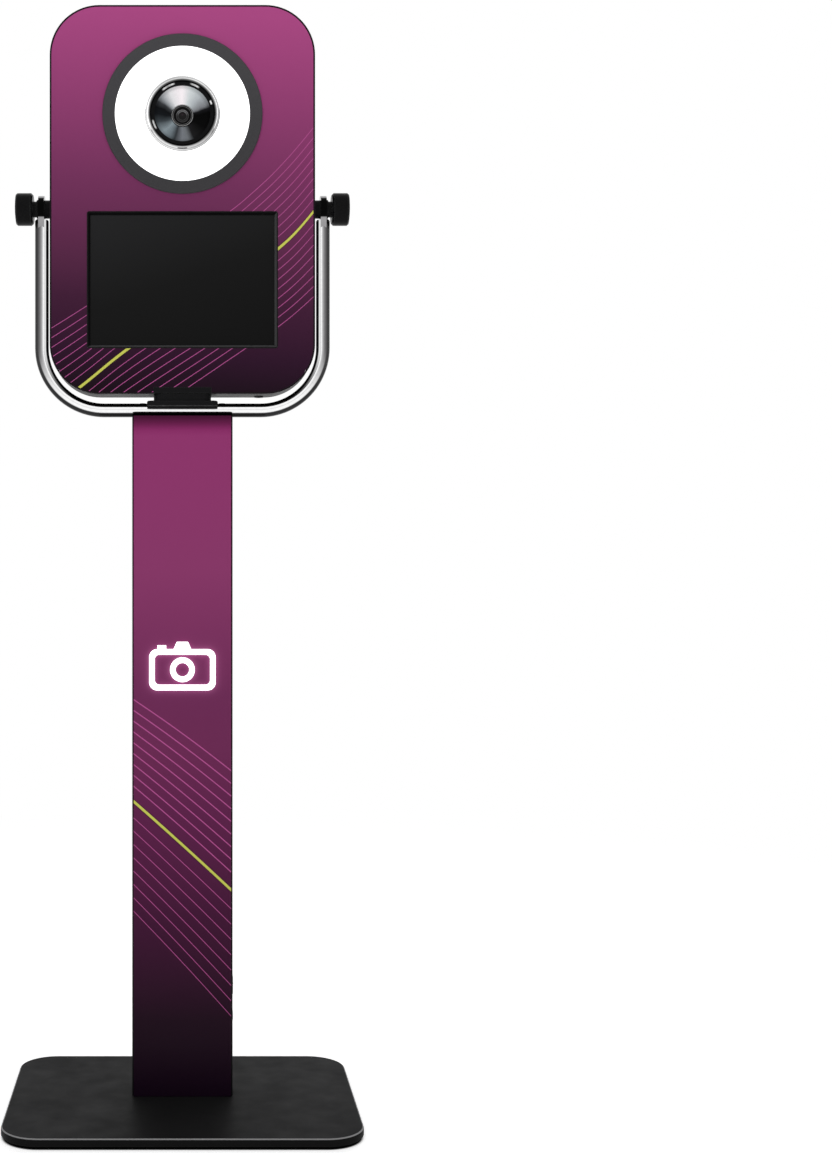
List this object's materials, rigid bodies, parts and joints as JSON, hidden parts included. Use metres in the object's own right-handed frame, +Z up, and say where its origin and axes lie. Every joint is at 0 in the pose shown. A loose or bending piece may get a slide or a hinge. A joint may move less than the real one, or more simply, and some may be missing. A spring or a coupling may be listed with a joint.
{
  "type": "photo booth",
  "caption": "Free-standing photo booth: a tilting head with ring light, camera lens and touch screen hangs in a chrome yoke on a slim printed column and flat base.",
  "frame": {"origin": "on the floor, under the centre of the base plate's outline", "axes": "+Z up, the screen faces -Y, +X is on the right of a person who stands in front of the screen and looks at it"},
  "size_m": [0.436, 0.32, 1.3966],
  "materials": {
    "base_powder_coat": "black powder coat, fine texture",
    "rubber": "matt rubber",
    "zinc_steel": "zinc plated",
    "column_paint": "black satin paint",
    "column_print": "printed acrylic, plum gradient with thin coloured lines",
    "sign_acrylic": "lit opal acrylic",
    "circuit_board": "white solder mask with light-emitting diodes",
    "battery_case": "moulded case",
    "cable_black": "cable jacket",
    "black_plastic": "satin moulded plastic",
    "rocker_red": "moulded rocker",
    "chrome": "polished chrome plate",
    "black_steel": "black oxide steel",
    "nylon_black": "nylon",
    "head_paint": "black satin paint",
    "trim_paint": "satin dark strip",
    "head_print": "printed acrylic, purple gradient with thin coloured lines",
    "rear_print": "printed acrylic, purple",
    "bezel_grey": "satin dark grey",
    "opal_acrylic": "opal diffuser",
    "white_plastic": "white reflector",
    "gloss_black": "piano black",
    "polished_aluminium": "turned and polished",
    "lens_black": "anodised black",
    "lens_glass": "coated optical glass",
    "bezel_black": "black frame",
    "screen_glass": "dark touch screen",
    "tablet_aluminium": "anodised",
    "button_steel": "turned steel",
    "button_cap": "lit white cap",
    "knob_black": "moulded phenolic"
  },
  "bodies": {
    "stand": {"base_plate": "base_powder_coat", "base_feet": "rubber", "base_bolts": "zinc_steel", "column_foot": "column_paint", "column_shell": "column_paint", "column_top_plate": "column_paint", "column_front_panel": "column_print", "column_rear_panel": "column_print", "column_front_sign": "sign_acrylic", "column_rear_sign": "sign_acrylic", "column_sign_boards": "circuit_board", "column_battery": "battery_case", "column_wiring": "cable_black", "column_inlet": "black_plastic", "column_switch_body": "black_plastic", "yoke_bar": "chrome", "yoke_screws": "black_steel", "tilt_saddle": "black_plastic", "saddle_bolt": "zinc_steel", "friction_washers": "nylon_black"},
    "power_rocker": {"column_switch_rocker": "rocker_red"},
    "head": {"head_frame": "head_paint", "panel_blocks": "zinc_steel", "case_screws": "black_steel", "edge_trims": "trim_paint", "front_fascia": "head_print", "rear_cover": "rear_print", "ring_bezel": "bezel_grey", "ring_diffuser": "opal_acrylic", "ring_housing": "white_plastic", "ring_led_board": "circuit_board", "lens_trim_ring": "chrome", "lens_inner_ring": "gloss_black", "lens_dish": "polished_aluminium", "lens_barrel": "lens_black", "lens_glass": "lens_glass", "camera_body": "black_plastic", "camera_bracket": "zinc_steel", "screen_bezel": "bezel_black", "tablet_glass": "screen_glass", "tablet_body": "tablet_aluminium", "tablet_tray": "zinc_steel", "power_pack": "battery_case", "head_inlet": "black_plastic", "light_bar_diffuser": "opal_acrylic", "light_bar_housing": "white_plastic", "light_bar_board": "circuit_board", "rear_sign": "sign_acrylic", "rear_sign_board": "circuit_board", "button_housings": "button_steel", "trunnion_bosses": "black_steel", "trunnion_nuts": "zinc_steel", "clamp_studs": "zinc_steel", "tilt_shoe": "black_plastic"},
    "right_washer": {"right_clamp_washer": "black_steel"},
    "right_knob": {"right_knob": "knob_black"},
    "left_washer": {"left_clamp_washer": "black_steel"},
    "left_knob": {"left_knob": "knob_black"},
    "power_button": {"power_button": "button_cap"},
    "light_button": {"light_button": "button_cap"}
  },
  "joints": [
    {"name": "head_tilt", "type": "hinge", "parent": "stand", "child": "head", "pos_m": [0, 0.012, 1.1421], "axis": [1, 0, 0], "range_deg": [-45, 45]},
    {"name": "right_clamp_travel", "type": "slide", "parent": "head", "child": "right_washer", "axis": [1, 0, 0], "range_m": [0, 0.00187]},
    {"name": "right_knob_turn", "type": "hinge", "parent": "right_washer", "child": "right_knob", "pos_m": [0.18625, 0.012, 1.1421], "axis": [1, 0, 0], "range_deg": [0, 540]},
    {"name": "left_clamp_travel", "type": "slide", "parent": "head", "child": "left_washer", "axis": [-1, 0, 0], "range_m": [0, 0.00187]},
    {"name": "left_knob_turn", "type": "hinge", "parent": "left_washer", "child": "left_knob", "pos_m": [-0.18625, 0.012, 1.1421], "axis": [-1, 0, 0], "range_deg": [0, 540]},
    {"name": "power_button_press", "type": "slide", "parent": "head", "child": "power_button", "axis": [0, -1, 0], "range_m": [0, 0.002], "stiffness_N_per_m": 400, "springref_m": -0.001},
    {"name": "light_button_press", "type": "slide", "parent": "head", "child": "light_button", "axis": [0, -1, 0], "range_m": [0, 0.002], "stiffness_N_per_m": 400, "springref_m": -0.001},
    {"name": "power_rocker_tilt", "type": "hinge", "parent": "stand", "child": "power_rocker", "pos_m": [0.05675, 0.012, 0.15], "axis": [0, -1, 0], "range_deg": [0, 18]}
  ],
  "couplings": [
    {"joint": "right_knob_turn", "follows": "right_clamp_travel", "rad_per_m": 5026.5},
    {"joint": "left_knob_turn", "follows": "left_clamp_travel", "rad_per_m": 5026.5}
  ]
}
